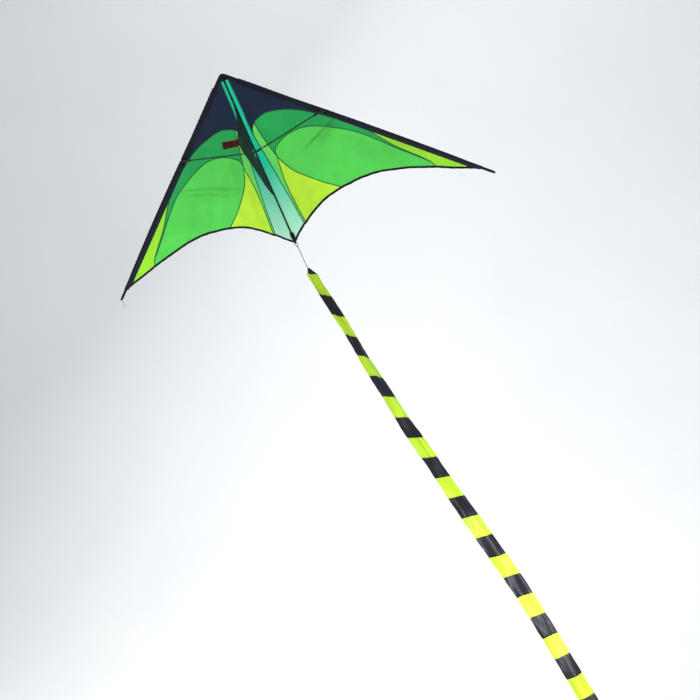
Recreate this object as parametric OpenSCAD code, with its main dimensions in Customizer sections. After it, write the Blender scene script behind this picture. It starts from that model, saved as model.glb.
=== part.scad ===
// Delta kite as its flyer sees it: +X is along the span, +Z is up, and the flyer stands on the -Y side.
// Millimetres. The origin is the tow point, at the lowest corner of the keel.

/* [Sail] */
// Half of the wingspan, from the spine to a wing tip
half_span = 800; // [760:5:840]
// How far the wing tips lie below the nose, measured along the spine
tip_drop = 750; // [730:5:770]
// How far the wing tips rise behind the spine (the dihedral)
tip_rise = 130; // [110:5:150]
// Billow of each wing, as the angle that its middle lies behind a flat wing
billow = 3.8; // [3.4:0.1:4.2]
// Thickness of the sail cloth's solid
cloth = 0.8; // [0.6:0.1:1]
// Width of the hem that holds a leading edge rod, inboard of the rod
hem_w = 14; // [12:1:16]
// Width of the binding tape along the trailing edge
tape_w = 7; // [6:0.5:8]

/* [Frame] */
// Length of the spine, nose to tail end
spine_len = 700; // [690:5:710]
// Diameter of the fibreglass rods
rod_d = 5; // [4:0.5:5]
// Distance from the nose to the start of each leading edge rod
rod_start = 200; // [180:10:220]
// How far the spine leans from upright in flight
lean = 24; // [20:1:28]

/* [Spreader] */
// Where the spreader crosses the spine, below the nose
cross_y = 312; // [310:1:316]
// Distance from the nose to each spreader connector, along the leading edge
clip_at = 387; // [380:1:394]
// How far the spreader stands in front of the rods
cross_gap = 9.9; // [9.9:0.1:10.5]
// Half length of the centre joiner
joiner_half = 30; // [28:1:32]

/* [Keel] */
// Where the keel starts on the spine
keel_top = 105; // [100:1:110]
// Where the keel ends on the spine
keel_end = 500; // [490:5:510]
// Position of the tow point along the spine
tow_y = 204; // [200:1:212]
// Depth of the keel at the tow point
keel_depth = 185; // [180:1:190]

/* [Tow loop] */
// Radius of the eye that the flying line clips into
eye_r = 4; // [3.5:0.5:4]
// Width of the webbing
webbing_w = 25; // [20:1:26]
// Length from the keel to the middle of the eye
loop_len = 52; // [48:1:56]
// How far the loop is flopped over to the kite's right
loop_flop = 72; // [60:1:76]
// How far the loop leans towards the nose
loop_lean = 14; // [0:1:18]

/* [Tail] */
// Width of the flattened tail tube
tail_w = 66; // [64:1:68]
// Length of one stripe of the tail
stripe_len = 93; // [88:1:96]
// Number of stripes in each of the three tail sections
stripes = 8; // [6:2:8]
// Sideways angle of the link cord
link_sway = 8; // [6:1:10]
// Sideways angle of the upper section
upper_sway = 14; // [12:1:16]
// Sideways angle of the middle section
middle_sway = 17; // [15:1:18]
// Sideways angle of the lower section
lower_sway = 13; // [11:1:15]

/* [Hidden] */
$fn = 48;

// Colours
navy = [0.07, 0.11, 0.19];
forest = [0.13, 0.62, 0.30];
bright = [0.33, 0.82, 0.31];
light_green = [0.42, 0.83, 0.33];
lime = [0.68, 0.88, 0.20];
mint = [0.35, 0.80, 0.65];
teal = [0.02, 0.20, 0.19];
black = [0.04, 0.04, 0.06];
rod_black = [0.09, 0.09, 0.10];
webbing_red = [0.42, 0.03, 0.03];
tail_lime_colour = [0.70, 0.95, 0.15];

// Kite coordinates: x along the span, y from the nose down the spine, z behind the sail, away from the flyer
tip = [half_span, tip_drop, tip_rise];
le = tip / norm(tip);
le_len = norm(tip);
spine_dir = [0, 1, 0];
big = 2000;
rod_r = rod_d / 2;
sleeve_bore = rod_r + 0.4;
spine_sleeve_r = rod_r + 1.1;
hem_r = rod_r + 1.5;
spine_strip = 5;
fine = 360;

// Each wing is part of a cone with its point at the nose, through the spine and the leading edge
mid = (spine_dir + le) / norm(spine_dir + le);
wing_normal = cross(le, spine_dir) / norm(cross(le, spine_dir));
front = wing_normal.z < 0 ? wing_normal : -wing_normal;
half_angle = acos(spine_dir * le) / 2;
axis_tilt = atan((cos(billow) - cos(half_angle)) / sin(billow));
cone_angle = axis_tilt + billow;
cone_axis = cos(axis_tilt) * mid + sin(axis_tilt) * front;
cone_h = 800;

drawn_span = 800;
drawn_drop = 750;
// Seams of a wing, in plan, as they are drawn for a half span of 800 and a tip drop of 750
mint_seam = [
    [15, 40], [16, 90], [17, 145], [18, 204], [22, 262],
    [32, 345], [38, 400], [45, 470], [54, 555], [62, 650]
];
green_top = [[22, 262], [22.5, 245], [28, 226], [39, 213]];
green_seam = [[39, 213], [47, 263], [57, 316], [68, 366]];
green_tail = [[68, 366], [64, 405], [60, 455], [60, 510], [64, 580], [69, 648]];
navy_seam = [[39, 213], [56, 203], [90, 196], [135, 204], [190, 226], [250, 262], [316, 316]];
bright_seam = [
    [68, 366], [70, 342], [93, 320], [140, 303], [200, 303], [268, 331],
    [362, 389], [420, 444], [481, 510], [543, 575], [587, 619]
];
inner_seam = [[68, 366], [84, 410], [112, 458], [165, 518], [236, 581]];
lime_seam = [[396, 390], [432, 438], [485, 506], [546, 572], [587, 619]];
tip_seam = [[587, 619], [599, 646]];
trail_mint = [[5, 694], [30, 674], [62, 650]];
trail_green = [[62, 650], [69, 648]];
trail_inner = [[69, 648], [110, 622], [170, 595], [236, 581]];
trail_bright = [[236, 581], [320, 577], [400, 586], [500, 614], [599, 646]];
trail_tip = [[599, 646], [660, 671], [723, 697]];

// Edges of the keel, as shares of the way along the spine and of the way down to the tow point
keel_root = spine_sleeve_r + 0.6;
keel_front_edge = [[0, 0], [0.14, 0.05], [0.42, 0.17], [0.61, 0.35], [0.74, 0.55], [0.88, 0.8], [1, 1]];
keel_back_edge = [[0, 1], [0.13, 0.94], [0.32, 0.8], [0.52, 0.62], [0.71, 0.41], [0.88, 0.19], [1, 0]];
keel_tape_w = 6;
slot_half = 19;
slot_deep = 34;

// Tail
link_len = 107;
header_len = 31;
section_gap = 3;
tail_cloth = 0.8;
tail_thick = 10;
cord_r = 1.3;
knot_r = 3.2;
eyelet_y = spine_len + 8;

function to_row(p) = [
    p.x,
    p.y * sin(lean) + p.z * cos(lean) + keel_depth * cos(lean) - tow_y * sin(lean),
    -p.y * cos(lean) + p.z * sin(lean) + keel_depth * sin(lean) + tow_y * cos(lean)
];
function unit(v) = v / norm(v);
function fit(points) = [for (p = points) [p.x * half_span / drawn_span, p.y * tip_drop / drawn_drop]];
function knot(p, i) = p[min(max(i, 0), len(p) - 1)];
function between(a, b, c, d, t) =
    0.5 * (2 * b + (c - a) * t + (2 * a - 5 * b + 4 * c - d) * t * t + (3 * b - 3 * c + d - a) * t * t * t);
function smooth(p, n = 3) = [
    for (i = [0 : len(p) - 2])
        for (k = [0 : n - 1])
            between(knot(p, i - 1), p[i], p[i + 1], knot(p, i + 2), k / n),
    p[len(p) - 1]
];
function seam(points) = smooth(fit(points));
function back(p) = [for (i = [len(p) - 1 : -1 : 0]) p[i]];
function turn(v) = [-v.y, v.x];
function run_at(p, i) = unit(knot(p, i + 1) - knot(p, i - 1));
function aside(p, d) = [for (i = [0 : len(p) - 1]) p[i] + d * turn(run_at(p, i))];
function hem_edge(r, w = hem_w) = [le.x, le.y] * r + w * turn(unit([le.x, le.y]));
function part(p, i, j) = [for (k = [i : j]) p[k]];
function from(p, i) = part(p, i, len(p) - 1);
function but_last(p) = part(p, 0, len(p) - 2);

// Where the seams meet the leading edge hem
hem_top = 44;
stripe_top = 29;
navy_end = 450;
lime_start = 560;
corner_end = 1011;
mint_line = seam(mint_seam);
mint_fork = 12;
navy_line = concat(but_last(seam(navy_seam)), [hem_edge(navy_end)]);
lime_line = concat([hem_edge(lime_start)], from(seam(lime_seam), 1));
tip_line = concat(but_last(seam(trail_tip)), [hem_edge(corner_end)]);
trailing = concat(
    but_last(seam(trail_mint)), but_last(seam(trail_green)), but_last(seam(trail_inner)),
    but_last(seam(trail_bright)), tip_line
);

// The right half of the spreader, from the middle of the joiner to its stud on the leading edge
cross_middle = [0, cross_y, -cross_gap];
clip_point = le * clip_at;
pivot = clip_point + front * cross_gap;
cross_dir = unit(pivot - cross_middle);
function arm(side) = [side * cross_dir.x, cross_dir.y, cross_dir.z];

module in_row() {
    translate(to_row([0, 0, 0]))
        rotate([lean - 90, 0, 0])
            children();
}

// Points +Z along a direction
module aim(v) {
    rotate([0, acos(v.z / norm(v)), atan2(v.y, v.x)])
        children();
}

module rod_between(a, b, r) {
    translate(a)
        aim(b - a)
            cylinder(h = norm(b - a), r = r);
}

module cone_at(shift) {
    translate(-cone_axis * shift / sin(cone_angle))
        aim(cone_axis)
            cylinder(h = cone_h, r1 = 0, r2 = cone_h * tan(cone_angle), $fn = fine);
}

// A piece of the right wing's curved surface: proud is how far its back stands out behind the sail
module wing_piece(outline, thick = cloth, proud = 0) {
    intersection() {
        difference() {
            cone_at(proud);
            cone_at(proud - thick);
        }
        translate([0, 0, -200])
            linear_extrude(height = 500)
                polygon(outline);
    }
}

// A flat flange lying along the wing's surface: its outline runs along a line from the nose, and out from it
function skin_normal(d) = (d * cos(cone_angle) - cone_axis) / sin(cone_angle);
function skin_side(d) = cross(skin_normal(d), d);
function roll_of(d, t) = let (a = acos(d.z), b = atan2(d.y, d.x))
    atan2(-(t * [cos(a) * cos(b), cos(a) * sin(b), -sin(a)]), t * [-sin(b), cos(b), 0]);

module flange(d, outline) {
    aim(d)
        rotate([0, 0, roll_of(d, skin_side(d))])
            rotate([0, -90, 0])
                linear_extrude(height = cloth, center = true)
                    polygon(outline);
}

module on_left() {
    mirror([1, 0, 0])
        children();
}

module mint_panel() {
    color(mint)
        wing_piece(concat([[spine_strip, stripe_top], [14.6, stripe_top]], mint_line, from(back(seam(trail_mint)), 1)));
}

module light_green_panel() {
    color(light_green)
        wing_piece(concat(
            seam(green_top), from(seam(green_seam), 1), from(seam(green_tail), 1),
            from(back(seam(trail_green)), 1), back(part(mint_line, mint_fork + 1, len(mint_line) - 2))
        ));
}

module navy_panel() {
    color(navy)
        wing_piece(concat(
            [[14.6, stripe_top]], part(mint_line, 0, mint_fork), from(seam(green_top), 1), from(navy_line, 1),
            [hem_edge(hem_top)]
        ));
}

module forest_panel() {
    color(forest)
        wing_piece(concat(
            navy_line, lime_line, from(back(seam(bright_seam)), 1), but_last(from(back(seam(green_seam)), 1))
        ));
}

module bright_panel() {
    color(bright)
        wing_piece(concat(
            seam(bright_seam), from(seam(tip_seam), 1), from(back(seam(trail_bright)), 1),
            but_last(from(back(seam(inner_seam)), 1))
        ));
}

module inner_lime_panel() {
    color(lime)
        wing_piece(concat(
            seam(inner_seam), from(back(seam(trail_inner)), 1), but_last(from(back(seam(green_tail)), 1))
        ));
}

module tip_lime_panel() {
    color(lime)
        wing_piece(concat(lime_line, from(seam(tip_seam), 1), from(tip_line, 1)));
}

module trailing_tape() {
    color(black)
        wing_piece(concat(trailing, back(aside(trailing, tape_w))), 2 * cloth, cloth / 2);
}

module spine_rod() {
    color(rod_black)
        rod_between([0, 20, 0], [0, spine_len - 2, 0], rod_r);
}

sleeve_top = 47;
sleeve_end = 664;

module spine_sleeve() {
    a = sleeve_top + 1;
    b = sleeve_end - 1;
    strip = [[a, -3.3], [a, -spine_strip], [b, -spine_strip], [b, -3.3]];
    color(teal)
        difference() {
            union() {
                rod_between([0, sleeve_top, 0], [0, sleeve_end, 0], spine_sleeve_r);
                flange(spine_dir, strip);
                on_left() flange(spine_dir, strip);
            }
            rod_between([0, 0, 0], [0, spine_len, 0], sleeve_bore);
        }
}

hem_start = 70;
hem_stop = 1046;
window_half = 15;
nose_lip = 3.7;
nose_arc = [for (a = [-90 : 10 : -50]) [0, 17] + 16 * [cos(a), sin(a)]];

module nose_patch() {
    outline = concat(nose_arc, [
        hem_edge(hem_start - 2, -nose_lip), hem_edge(hem_start - 2), hem_edge(hem_top - 0.5, hem_w - 0.5),
        [15.1, stripe_top - 0.5], [0, stripe_top - 0.5]
    ]);
    color(black)
        difference() {
            union() {
                wing_piece(outline, 3, 1);
                on_left() wing_piece(outline, 3, 1);
                rod_between([0, 6, 0], [0, 46, 0], spine_sleeve_r + 0.9);
            }
            rod_between([0, 19.5, 0], [0, 50, 0], rod_r + 0.05);
        }
}

module tail_pocket() {
    outline = [[0, 640], [13, 640], [15, 655], [9, 672], [0, 682]];
    color(black)
        difference() {
            union() {
                wing_piece(outline, 1.2, 1.2);
                on_left() wing_piece(outline, 1.2, 1.2);
                rod_between([0, sleeve_end + 1, 0], [0, spine_len + 2, 0], spine_strip - 0.2);
                rod_between([0, spine_len + 1, 0], [0, eyelet_y + 2.4, 0], 3.2);
            }
            rod_between([0, 0, 0], [0, sleeve_end + 0.5, 0], spine_strip + 0.1);
            rod_between([0, sleeve_end, 0], [0, spine_len - 1.5, 0], rod_r + 0.05);
            rod_between([-10, eyelet_y, 0], [10, eyelet_y, 0], cord_r + 0.05);
        }
}

module spreader_joiner() {
    color(rod_black)
        difference() {
            union() {
                for (side = [1, -1])
                    rod_between(cross_middle, cross_middle + joiner_half * arm(side), rod_r + 1.5);
                translate(cross_middle)
                    sphere(r = rod_r + 1.5);
                translate(cross_middle)
                    cylinder(h = cross_gap - 2, r = 3);
            }
            rod_between([0, 0, 0], [0, spine_len, 0], spine_sleeve_r + 0.05);
            for (side = [1, -1])
                rod_between(cross_middle + 8 * arm(side), cross_middle + 40 * arm(side), rod_r + 0.15);
        }
}

module leading_rod() {
    color(rod_black)
        rod_between(le * rod_start, le * (le_len - 9), rod_r);
}

module leading_hem() {
    strip = [
        [hem_start, 3.4], [hem_stop, 3.4], [corner_end + 9, hem_w - 0.3], [hem_start, hem_w - 0.3]
    ];
    color(navy)
        difference() {
            union() {
                flange(le, strip);
                rod_between(le * hem_start, le * hem_stop, hem_r);
            }
            rod_between(le * (hem_start - 5), le * (hem_stop + 5), sleeve_bore);
            rod_between(le * (clip_at - window_half), le * (clip_at + window_half), hem_w + 4);
        }
}

module rod_cap() {
    color(rod_black)
        difference() {
            rod_between(le * (le_len - 24), le * (le_len - 7), rod_r + 1);
            rod_between(le * (le_len - 30), le * (le_len - 9), rod_r);
        }
}

module tip_pocket() {
    color(black)
        difference() {
            union() {
                rod_between(le * (hem_stop + 1), le * (le_len - 3), rod_r + 2.4);
                translate(le * (le_len - 3))
                    aim(le)
                        cylinder(h = 4, r1 = rod_r + 2.4, r2 = rod_r);
            }
            rod_between(le * hem_stop, le * (le_len - 6.5), rod_r + 1.3);
        }
}

// Loose tie thread at the end of the left tip pocket
tie_start = le * (le_len + 1.9);

module tip_tie() {
    color(black)
        rod_between(tie_start, tie_start + [-2, 30, -7], 0.6);
}

// Clip round the leading edge rod, with the stud that the spreader's socket turns on
stud_r = 1.5;
hub_half = 4.6;

module rod_clip() {
    color(rod_black)
        difference() {
            union() {
                rod_between(le * (clip_at - 12), le * (clip_at + 12), rod_r + 2);
                rod_between(clip_point + front * 3, pivot + front * (hub_half + 1), stud_r);
                rod_between(pivot + front * (hub_half + 0.4), pivot + front * (hub_half + 1.8), 3);
            }
            rod_between(le * (clip_at - 20), le * (clip_at + 20), rod_r);
        }
}

module spreader_socket() {
    color(rod_black)
        difference() {
            union() {
                rod_between(pivot - front * hub_half, pivot + front * hub_half, 6);
                rod_between(pivot, pivot - cross_dir * 34, rod_r + 2);
            }
            rod_between(pivot - front * 6, pivot + front * 6, stud_r + 0.05);
            rod_between(pivot - cross_dir * 8, pivot - cross_dir * 40, rod_r);
        }
}

module spreader_rod() {
    color(rod_black)
        rod_between(pivot - cross_dir * 8, cross_middle + cross_dir * (joiner_half + 2.5), rod_r);
}

// The keel stands in the plane of symmetry: it is drawn along the spine and in front of it
tow_corner = [tow_y, keel_depth - 2.5];
keel_front = smooth([
    for (p = keel_front_edge)
        [keel_top + (tow_corner.x - 3 - keel_top) * p.x, keel_root + (tow_corner.y - keel_root) * p.y]
]);
keel_back = smooth([
    for (p = keel_back_edge)
        [tow_corner.x + 3 + (keel_end - tow_corner.x - 3) * p.x, keel_root + (tow_corner.y - keel_root) * p.y]
]);
keel_inside = concat(
    but_last(aside(keel_front, -keel_tape_w)), [[tow_corner.x + 2, tow_corner.y - keel_tape_w - 2]],
    from(aside(keel_back, -keel_tape_w), 1)
);

module in_keel_plane(thick) {
    rotate([0, -90, 0])
        rotate([0, 0, 90])
            linear_extrude(height = thick, center = true)
                children();
}

module beyond_root() {
    intersection() {
        children();
        translate([0, keel_root])
            square([spine_len, 300]);
    }
}

module slot_shape() {
    translate([cross_y - 3 - slot_half, 0])
        square([2 * slot_half, slot_deep]);
}

module keel_panel() {
    color(teal)
        in_keel_plane(cloth)
            difference() {
                beyond_root() polygon(keel_inside);
                slot_shape();
            }
}

module keel_binding() {
    color(black)
        in_keel_plane(2 * cloth)
            difference() {
                beyond_root() polygon(concat(keel_front, keel_back));
                polygon(keel_inside);
                slot_shape();
            }
}

module keel_corner_patch() {
    patch = [for (p = [[-4, 38], [34, 38], [24, 20], [9, 15], [3, 20]]) [tow_y + p.x, keel_depth - p.y]];
    color(black)
        for (side = [1, -1])
            translate([side * cloth, 0, 0])
                in_keel_plane(cloth)
                    polygon(patch);
}

// Webbing loop on the keel's corner, folded double round its eye
strap_thick = 3;
eye_wall = 1.3;

module tow_loop() {
    color(webbing_red)
        translate([0, tow_y, -keel_depth])
            rotate([0, loop_flop + 90, 0])
                rotate([90, 0, -loop_lean])
                    linear_extrude(height = webbing_w, center = true)
                        difference() {
                            union() {
                                circle(d = strap_thick);
                                translate([0, -strap_thick / 2])
                                    square([loop_len, strap_thick]);
                                translate([loop_len, 0])
                                    circle(r = eye_r + eye_wall);
                            }
                            translate([loop_len, 0])
                                circle(r = eye_r);
                        }
}

// The tail hangs in the row's own frame, straight down but for its sideways sway
function down(sway) = [sin(sway), 0, -cos(sway)];
eyelet = to_row([0, eyelet_y, 0]);
knot_at = eyelet + 14 * down(link_sway);
link_end = eyelet + link_len * down(link_sway);
section_len = stripes * stripe_len;
middle_top = link_end + (header_len + section_len + section_gap) * down(upper_sway);
lower_top = middle_top + (section_len + section_gap) * down(middle_sway);
tail_yaw = [-54, -48, -40, -12, -20, -44];

function share(i) = i / (3 * stripes - 1) * (len(tail_yaw) - 1);
function yaw_at(i) = lookup(share(i), [for (k = [0 : len(tail_yaw) - 1]) [k, tail_yaw[k]]]);

module tail_link_cord() {
    color(black)
        difference() {
            union() {
                rod_between(eyelet - [6, 0, 0], eyelet + [6, 0, 0], cord_r);
                for (side = [1, -1]) {
                    translate(eyelet + [side * 6, 0, 0])
                        sphere(r = cord_r);
                    rod_between(eyelet + [side * 6, 0, 0], knot_at, cord_r);
                }
                rod_between(knot_at, link_end - 3 * down(link_sway), cord_r);
            }
            translate(knot_at)
                sphere(r = knot_r);
        }
}

module tail_link_knot() {
    color(black)
        translate(knot_at)
            sphere(r = knot_r);
}

// Places a section with its own +Z down the tail
module down_tail(top, sway) {
    translate(top)
        rotate([0, 180 - sway, 0])
            children();
}

module flat_shape(w, t) {
    square([w - t, t], center = true);
    for (side = [1, -1])
        translate([side * (w - t) / 2, 0])
            circle(d = t);
}

module stripe(i) {
    rotate([0, 0, yaw_at(i)])
        linear_extrude(height = stripe_len)
            difference() {
                flat_shape(tail_w, tail_thick);
                flat_shape(tail_w - 2 * tail_cloth, tail_thick - 2 * tail_cloth);
            }
}

module tail_stripes(first, odd, shift = 0) {
    for (i = [odd : 2 : stripes - 1])
        translate([0, 0, shift + i * stripe_len])
            stripe(first + i);
}

module tail_header() {
    color(black)
        down_tail(link_end, upper_sway)
            rotate([0, 0, yaw_at(0)])
                intersection() {
                    cylinder(h = header_len, r1 = 4, r2 = tail_w / 2 - 3);
                    translate([-50, -8, 0])
                        cube([100, 16, header_len]);
                }
}

module tail_upper(odd) {
    down_tail(link_end, upper_sway)
        tail_stripes(0, odd, header_len);
}

module tail_middle(odd) {
    down_tail(middle_top, middle_sway)
        tail_stripes(stripes, odd);
}

module tail_lower(odd) {
    down_tail(lower_top, lower_sway)
        tail_stripes(2 * stripes, odd);
}

in_row() spine_rod();
in_row() spine_sleeve();
in_row() nose_patch();
in_row() tail_pocket();
in_row() spreader_joiner();
in_row() on_left() mint_panel();  // left_mint_panel
in_row() mint_panel();  // right_mint_panel
in_row() on_left() light_green_panel();  // left_light_green_panel
in_row() light_green_panel();  // right_light_green_panel
in_row() on_left() navy_panel();  // left_navy_panel
in_row() navy_panel();  // right_navy_panel
in_row() on_left() forest_panel();  // left_forest_panel
in_row() forest_panel();  // right_forest_panel
in_row() on_left() bright_panel();  // left_bright_panel
in_row() bright_panel();  // right_bright_panel
in_row() on_left() inner_lime_panel();  // left_inner_lime_panel
in_row() inner_lime_panel();  // right_inner_lime_panel
in_row() on_left() tip_lime_panel();  // left_tip_lime_panel
in_row() tip_lime_panel();  // right_tip_lime_panel
in_row() on_left() trailing_tape();  // left_trailing_tape
in_row() trailing_tape();  // right_trailing_tape
in_row() on_left() leading_rod();  // left_leading_rod
in_row() leading_rod();  // right_leading_rod
in_row() on_left() leading_hem();  // left_leading_hem
in_row() leading_hem();  // right_leading_hem
in_row() on_left() rod_cap();  // left_rod_cap
in_row() rod_cap();  // right_rod_cap
in_row() on_left() tip_pocket();  // left_tip_pocket
in_row() tip_pocket();  // right_tip_pocket
in_row() on_left() rod_clip();  // left_rod_clip
in_row() rod_clip();  // right_rod_clip
in_row() on_left() spreader_socket();  // left_spreader_socket
in_row() spreader_socket();  // right_spreader_socket
in_row() on_left() spreader_rod();  // left_spreader_rod
in_row() spreader_rod();  // right_spreader_rod
in_row() on_left() tip_tie();  // left_tip_tie
in_row() keel_panel();
in_row() keel_binding();
in_row() keel_corner_patch();
in_row() tow_loop();
tail_link_cord();
tail_link_knot();
tail_header();
color(tail_lime_colour) tail_upper(0);  // tail_upper_lime
color(black) tail_upper(1);  // tail_upper_black
color(tail_lime_colour) tail_middle(0);  // tail_middle_lime
color(black) tail_middle(1);  // tail_middle_black
color(tail_lime_colour) tail_lower(0);  // tail_lower_lime
color(black) tail_lower(1);  // tail_lower_black
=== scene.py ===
import math

import bpy
import numpy as np
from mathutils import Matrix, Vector
from mathutils.geometry import delaunay_2d_cdt


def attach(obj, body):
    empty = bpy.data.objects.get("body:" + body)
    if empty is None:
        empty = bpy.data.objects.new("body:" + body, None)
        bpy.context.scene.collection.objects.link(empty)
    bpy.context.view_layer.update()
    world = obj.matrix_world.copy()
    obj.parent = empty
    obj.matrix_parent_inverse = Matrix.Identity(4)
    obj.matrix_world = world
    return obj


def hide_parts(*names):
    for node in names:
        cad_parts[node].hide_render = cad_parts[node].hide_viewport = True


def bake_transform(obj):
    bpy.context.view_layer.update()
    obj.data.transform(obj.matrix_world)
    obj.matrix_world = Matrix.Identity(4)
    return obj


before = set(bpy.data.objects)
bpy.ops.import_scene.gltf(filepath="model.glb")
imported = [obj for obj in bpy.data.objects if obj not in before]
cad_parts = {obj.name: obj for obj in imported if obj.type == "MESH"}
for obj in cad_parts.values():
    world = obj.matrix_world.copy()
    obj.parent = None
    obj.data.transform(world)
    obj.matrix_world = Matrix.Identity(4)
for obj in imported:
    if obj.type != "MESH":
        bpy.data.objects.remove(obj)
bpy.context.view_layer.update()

# ---- camera, lights and floor
scene = bpy.context.scene
scene.view_settings.view_transform = "Standard"
scene.view_settings.look = "None"

camera = bpy.data.objects.new("camera", bpy.data.cameras.new("camera"))
scene.collection.objects.link(camera)
camera.location = (0.943, -3.983, -0.5238)
camera.rotation_euler = [math.radians(a) for a in (85.674, 18.42, 9.967)]
camera.data.lens = 59.13
camera.data.sensor_width = 36
camera.data.dof.use_dof = False
scene.camera = camera


def light(name, at, to, energy, size, tint=(1, 1, 1)):
    lamp = bpy.data.objects.new(name, bpy.data.lights.new(name, "AREA"))
    scene.collection.objects.link(lamp)
    lamp.location = at
    lamp.rotation_euler = (Vector(to) - Vector(at)).to_track_quat("-Z", "Y").to_euler()
    lamp.data.energy = energy
    lamp.data.size = size
    lamp.data.color = tint
    lamp.visible_camera = False
    return lamp


light("key_light", (-3.2, -4.2, 3.2), (0.1, 0.2, -0.6), 90, 2.0)
light("back_light", (-2.4, 4.0, 3.4), (0, 0.3, -0.3), 330, 1.6, (1, 0.98, 0.94))
light("fill_light", (4.2, -3.2, -0.6), (0.2, 0.3, -1.0), 40, 3.5, (0.95, 0.98, 1))
light("wall_light", (0.5, 2.6, 4.6), (0.5, 7, -0.5), 150, 5.0)
light("tail_light", (1.8, -1.9, -2.3), (0.35, 0.37, -2.0), 9, 1.0).data.spread = math.radians(50)

world = bpy.data.worlds.new("studio")
scene.world = world
world.use_nodes = True
world.node_tree.nodes["Background"].inputs["Color"].default_value = (0.93, 0.96, 1, 1)
world.node_tree.nodes["Background"].inputs["Strength"].default_value = 0.42


# ---- small tools
def linear(r, g, b):
    """An sRGB colour of 0 to 255 as Blender's linear one."""
    flat = [c / 255 / 12.92 if c <= 10 else ((c / 255 + 0.055) / 1.055) ** 2.4 for c in (r, g, b)]
    return (*flat, 1.0)


LEAN = math.radians(24)
SN, CS = math.sin(LEAN), math.cos(LEAN)
TURN = np.array([[1, 0, 0], [0, SN, CS], [0, -CS, SN]])
TOW_Y, KEEL_DEPTH = 0.204, 0.185
SHIFT = np.array([0, KEEL_DEPTH * CS - TOW_Y * SN, KEEL_DEPTH * SN + TOW_Y * CS])


def row(p):
    """Kite coordinates (across, down the spine, behind the sail) to the row frame."""
    return np.asarray(p, float) @ TURN.T + SHIFT


def kite(p):
    return (np.asarray(p, float) - SHIFT) @ TURN


def unit(v):
    v = np.asarray(v, float)
    return v / np.maximum(np.linalg.norm(v, axis=-1, keepdims=True), 1e-12)


TIP = np.array([0.8, 0.75, 0.13])
LE_LEN = float(np.linalg.norm(TIP))
LE = TIP / LE_LEN
SPINE = np.array([0, 1.0, 0])
LE_ANGLE = math.acos(LE @ SPINE)
FRONT = unit(np.cross(LE, SPINE))
FRONT = FRONT if FRONT[2] < 0 else -FRONT
BILLOW = math.radians(3.8)
TILT = math.atan((math.cos(BILLOW) - math.cos(LE_ANGLE / 2)) / math.sin(BILLOW))
CONE = math.cos(TILT) * unit(SPINE + LE) + math.sin(TILT) * FRONT
CONE_COS = math.cos(TILT + BILLOW)
LE_PLAN = unit(LE[:2])
INBOARD = np.array([-LE_PLAN[1], LE_PLAN[0]])


def cone_z(x, y):
    s = CONE[0] * x + CONE[1] * y
    a = CONE[2] ** 2 - CONE_COS**2
    b = 2 * s * CONE[2]
    c = s * s - CONE_COS**2 * (x * x + y * y)
    d = np.sqrt(np.maximum(b * b - 4 * a * c, 0))
    z1, z2 = (-b + d) / (2 * a), (-b - d) / (2 * a)
    return np.where(np.abs(z1 - 0.14 * x) < np.abs(z2 - 0.14 * x), z1, z2)


def along(x, y, a, b):
    """How far along and aside of the line from a to b each point lies."""
    a, b = np.array(a), np.array(b)
    d = b - a
    length = np.hypot(*d)
    d = d / length
    return ((x - a[0]) * d[0] + (y - a[1]) * d[1]) / length, (x - a[0]) * -d[1] + (y - a[1]) * d[0]


def crease(x, y, a, b, width, depth):
    """A soft ridge from a to b that fades at both ends."""
    t, w = along(x, y, a, b)
    ends = np.clip(t / 0.15, 0, 1) * np.clip((1 - t) / 0.25, 0, 1)
    return depth * np.exp(-((w / width) ** 2)) * ends


CREASES = {
    1: (
        ((0.335, 0.315), (0.165, 0.375), 0.010, 0.0052),
        ((0.42, 0.41), (0.26, 0.47), 0.012, 0.0016),
        ((0.60, 0.60), (0.30, 0.50), 0.014, 0.0018),
    ),
    -1: (
        ((0.40, 0.385), (0.10, 0.455), 0.016, 0.0062),
        ((0.40, 0.41), (0.16, 0.47), 0.007, 0.0026),
        ((0.56, 0.55), (0.25, 0.50), 0.016, 0.0018),
        ((0.30, 0.33), (0.09, 0.36), 0.008, 0.0014),
    ),
}  # each wing's creases: from, to, width and depth


def wrinkle(x, y, side):
    """Small relief of the stretched cloth: tension lines, creases and a little slack at the trailing edge."""
    r = np.hypot(x, y)
    share = np.arctan2(x, y) / math.atan2(0.8, 0.75)
    room = np.clip((share - 0.02) / 0.12, 0, 1) * np.clip((0.985 - share) / 0.1, 0, 1)
    z = 0.0011 * np.sin(46 * share + 7 * r + 1.3 * side) * np.clip(r / 0.5, 0.1, 1)
    z += 0.0016 * np.sin(19 * share - 9 * r + 0.8 + side) * np.clip((r - 0.2) / 0.4, 0, 1)
    z += 0.0009 * np.sin(120 * x + 35 * y + side) * np.exp(-(((r - 0.62) / 0.12) ** 2))
    for line in CREASES[side]:
        z += crease(x, y, *line)
    return z * room


def skin(x, y, side=1):
    """Points on a wing's cloth, and their normals, in kite coordinates."""
    x, y = np.asarray(x, float), np.asarray(y, float)

    def z(u, v):
        return cone_z(u, v) + wrinkle(u, v, side)

    e = 1e-4
    at = np.stack([side * x, y, z(x, y)], -1)
    slope_x = (z(x + e, y) - z(x - e, y)) / (2 * e)
    slope_y = (z(x, y + e) - z(x, y - e)) / (2 * e)
    n = np.stack([-side * slope_x, -slope_y, np.ones_like(x)], -1)
    return at, unit(n)


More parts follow.
